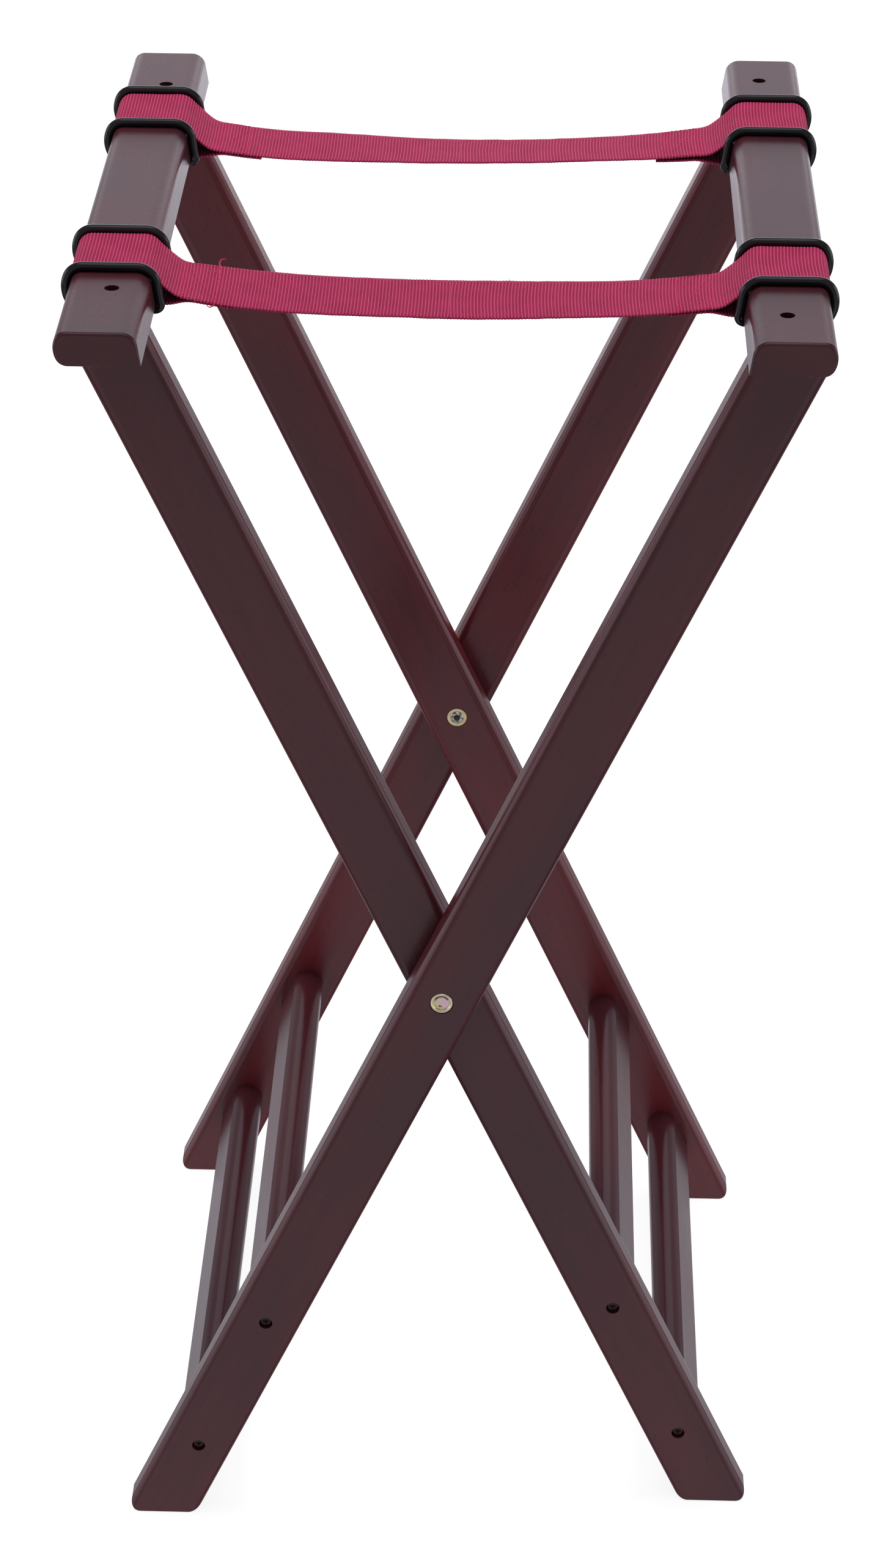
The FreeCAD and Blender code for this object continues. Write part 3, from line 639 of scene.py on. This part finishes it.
# |x| of the inner and the outer row of each sewn box
BOX = {("near", "inner"): (125.4, 144.2), ("near", "outer"): (122.0, 140.7), ("far", "inner"): (124.0, 141.2), ("far", "outer"): (119.8, 139.5)}
for (sname, fname), (xa, xb) in BOX.items():
    g = np.random.default_rng(len(sname) * 10 + len(fname))
    t = Threads(sname, fname)
    t.row((xb, -23.6), (xb - 0.3, 23.6), 2.3, 1.75, 0.26, g)
    t.row((xa, -23.6), (xa + 0.3, 23.6), 2.3, 2.25, 0.34, g, 0.12, 0.16)
    t.row((xa + 0.4, -22.6), (xb - 0.6, 22.2), 2.7, 2.1, 0.22, g, 0.15)
    t.row((xa + 0.4, 22.2), (xb - 0.6, -22.6), 2.7, 2.1, 0.22, g, 0.15)
    t.row((xa + 0.8, -23.9), (xb - 0.8, -23.9), 2.4, 1.8, 0.24, g)
    t.row((xa + 0.8, 23.7), (xb - 0.8, 23.7), 2.4, 1.8, 0.24, g)
    if (sname, fname) == ("near", "inner"):
        # the back-stitched end of the inner row, with a tuft over the far edge
        t.row((xa + 0.2, 6.0), (xa + 0.5, 24.0), 1.5, 2.2, 0.46, g, 0.18, 0.30)
        t.strand([(xa + 0.6, 21.0, 0.4), (xa + 0.9, 24.0, 0.9), (xa + 1.2, 26.0, 1.6), (xa + 0.2, 27.2, 2.7), (xa - 1.7, 27.6, 3.1), (xa - 2.4, 27.3, 2.6)], 0.42)
        t.strand([(xa + 0.2, -23.0, 0.2), (xa + 0.1, -24.9, 0.2), (xa + 0.5, -26.2, -0.8), (xa + 1.8, -26.9, -1.8), (xa + 3.4, -26.7, -1.9), (xa + 4.2, -26.0, -1.3)], 0.40)
    # short fibres standing off both edges
    for i in range(9):
        x0, e = float(g.uniform(20.0, 150.0)), float(g.choice([-1.0, 1.0]))
        dx, out = float(g.normal(0, 1.2)), float(g.uniform(0.9, 2.0))
        t.strand([(x0, e * 24.6, 0.1), (x0 + dx * 0.3, e * (25.3 + out * 0.35), 0.2), (x0 + dx, e * (25.2 + out), 0.1 + float(g.normal(0, 0.4)))], 0.07)
    t.done()

# ------------------------------------------------------------------ floor and light
F = Mat("studio_floor")
fv = F.coords()
fn = F.noise(fv, 3.0, 2.0)
fy = F.xyz(fv)[1]
# painted light: the floor glows, more strongly from about y = -0.4 back under the rack
lit = F.step(F.math("ADD", fy, F.math("MULTIPLY", fn, 0.02)), -0.50, -0.335)
F.set(Base_Color=F.mix(fn, (0.29, 0.29, 0.295), (0.31, 0.31, 0.315)), Roughness=F.step(fn, 0.3, 0.7, 0.85, 0.95),
      Emission_Strength=F.math("MULTIPLY_ADD", lit, 0.64, 0.23))
F.b.inputs["Emission Color"].default_value = (1.0, 1.0, 1.0, 1.0)
F.b.inputs["Specular IOR Level"].default_value = 0.0
bpy.ops.mesh.primitive_plane_add(size=30, location=(0, 0, -0.0004))
floor = bpy.context.object
floor.name = "floor"
floor.data.materials.append(F.m)
floor.visible_glossy = False

world = bpy.data.worlds.new("studio")
scene.world = world
world.use_nodes = True
wt = world.node_tree
wt.nodes.clear()
wo = wt.nodes.new("ShaderNodeOutputWorld")
bg = wt.nodes.new("ShaderNodeBackground")
wt.links.new(bg.outputs[0], wo.inputs[0])
# a bright strip of backdrop low down behind, a dim room elsewhere
tc = wt.nodes.new("ShaderNodeTexCoord")
sx = wt.nodes.new("ShaderNodeSeparateXYZ")
wt.links.new(tc.outputs["Generated"], sx.inputs[0])


def ramp(socket, a, b, lo, hi):
    n = wt.nodes.new("ShaderNodeMapRange")
    n.interpolation_type = "SMOOTHSTEP"
    wt.links.new(socket, n.inputs[0])
    for i, v in enumerate((a, b, lo, hi)):
        n.inputs[i + 1].default_value = v
    return n.outputs[0]


def times(a, b):
    n = wt.nodes.new("ShaderNodeMath")
    n.operation = "MULTIPLY"
    wt.links.new(a, n.inputs[0])
    wt.links.new(b, n.inputs[1])
    return n.outputs[0]


behind = ramp(sx.outputs[1], 0.15, 0.70, 0.0, 0.46)
upper = times(times(behind, ramp(sx.outputs[2], 0.0, 0.10, 0.0, 1.0)), ramp(sx.outputs[2], 0.58, 0.80, 1.0, 0.0))
# a narrower sheet of paper that comes down behind and runs out to the front, brightest where it turns
off_x = wt.nodes.new("ShaderNodeMath")
off_x.operation = "ABSOLUTE"
wt.links.new(sx.outputs[0], off_x.inputs[0])
narrow = ramp(off_x.outputs[0], 0.23, 0.36, 1.0, 0.06)
paper = times(times(narrow, ramp(sx.outputs[1], 0.3, 0.7, 0.0, 1.0)), ramp(sx.outputs[2], 0.06, 0.24, 2.0, 0.0))
paper = times(paper, ramp(sx.outputs[2], -0.34, -0.22, 0.45, 1.0))


def plus(a, b):
    n = wt.nodes.new("ShaderNodeMath")
    n.operation = "ADD"
    wt.links.new(a, n.inputs[0])
    wt.links.new(b, n.inputs[1])
    return n.outputs[0]


# the lit floor in front, as the front faces see it
low = plus(ramp(sx.outputs[2], -0.43, -0.37, 0.62, 0.30), ramp(sx.outputs[2], -0.62, -0.56, -0.17, 0.0))
low = times(times(low, ramp(sx.outputs[2], -0.30, -0.05, 1.0, 0.0)), ramp(sx.outputs[1], -0.6, -0.1, 1.0, 0.0))
near_floor = times(times(ramp(sx.outputs[2], -0.40, -0.33, 0.60, 0.0), ramp(sx.outputs[2], -0.49, -0.43, 0.35, 1.0)), ramp(sx.outputs[1], 0.1, 0.5, 0.0, 1.0))
near_floor = times(near_floor, ramp(off_x.outputs[0], 0.24, 0.36, 0.0, 1.0))
# soft boxes to both sides and above
boxes = times(ramp(off_x.outputs[0], 0.78, 0.93, 0.0, 1.0), times(ramp(sx.outputs[2], -0.35, -0.15, 0.0, 1.15), ramp(sx.outputs[2], 0.25, 0.45, 1.0, 0.0)))
strip = plus(plus(times(upper, narrow), paper), plus(low, near_floor))
strip = plus(strip, plus(boxes, ramp(sx.outputs[2], 0.88, 0.96, 0.0, 1.1)))
add = wt.nodes.new("ShaderNodeMath")
add.operation = "ADD"
wt.links.new(strip, add.inputs[0])
wt.links.new(times(ramp(sx.outputs[1], -0.6, 0.6, 0.30, 0.24), ramp(sx.outputs[2], -0.25, 0.05, 0.45, 1.0)), add.inputs[1])
wt.links.new(add.outputs[0], bg.inputs[1])
bg.inputs[0].default_value = (0.935, 0.915, 1.0, 1.0)


def area(name, loc, target, size, power, color=(1, 1, 1)):
    d = bpy.data.lights.new(name, "AREA")
    d.shape = "RECTANGLE"
    d.size, d.size_y = size
    d.energy = power
    d.color = color
    o = bpy.data.objects.new(name, d)
    scene.collection.objects.link(o)
    o.location = loc
    o.rotation_euler = (Vector(target) - Vector(loc)).to_track_quat("-Z", "Y").to_euler()
    return o


top_light = area("overhead", (0.0, 0.5, 2.8), (0.0, 0.1, 0.0), (2.4, 1.8), 52.0)
top_light.visible_glossy = False

scene.view_settings.view_transform = "Standard"
scene.view_settings.look = "None"
